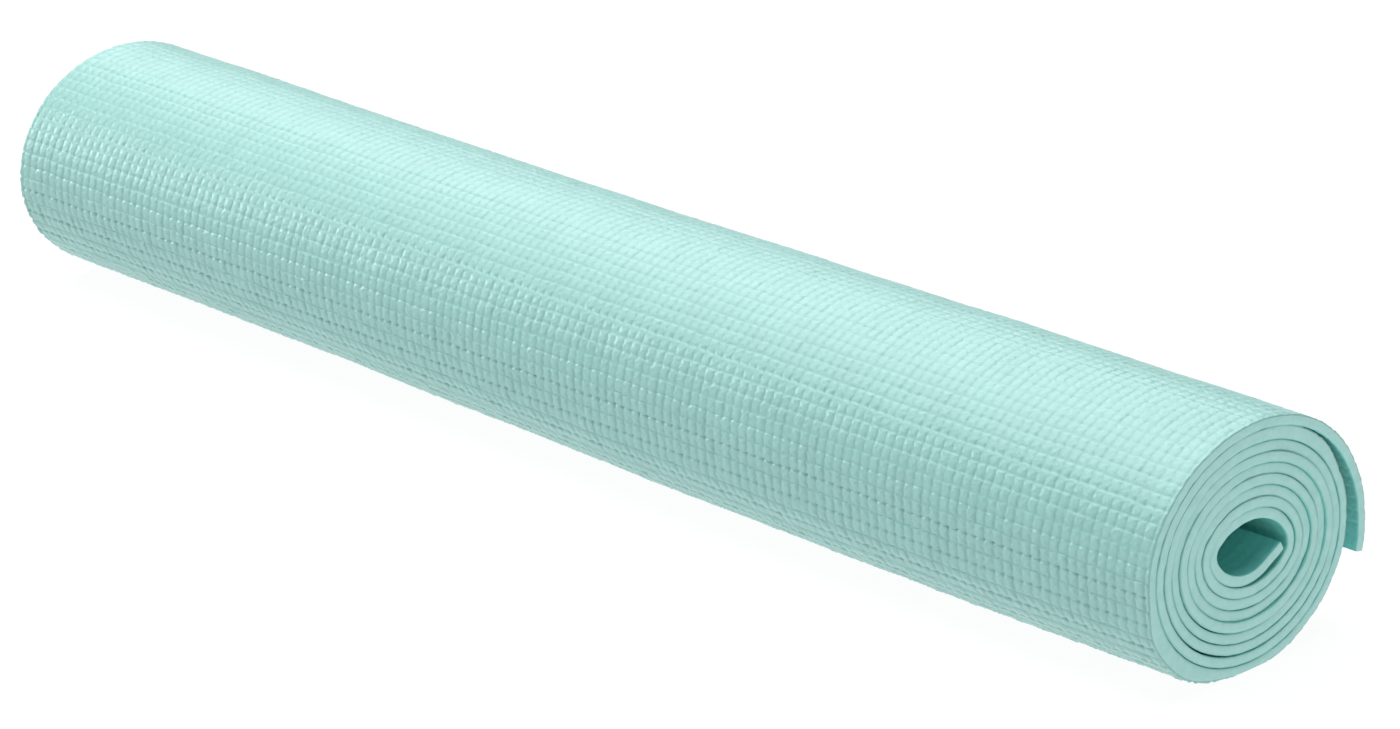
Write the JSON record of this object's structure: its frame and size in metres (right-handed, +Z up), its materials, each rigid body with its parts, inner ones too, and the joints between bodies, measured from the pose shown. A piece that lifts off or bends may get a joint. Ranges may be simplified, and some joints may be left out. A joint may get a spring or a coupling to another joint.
{
  "type": "rolled yoga mat",
  "caption": "Foam exercise mat rolled up with its loose end standing off, lying on its side.",
  "frame": {"origin": "under the middle of the roll, on the surface that it rests on", "axes": "+X along the roll, +Y towards the loose end, +Z up"},
  "size_m": [0.61, 0.1164, 0.0926],
  "materials": {
    "foam": "mint-green closed-cell PVC foam, matte, with a square grid of small raised grips on both faces",
    "scrim": "thin white polyester scrim, inside the foam"
  },
  "bodies": {
    "root": {"outward_foam": "foam", "reinforcing_scrim": "scrim", "inward_foam": "foam"}
  },
  "joints": []
}
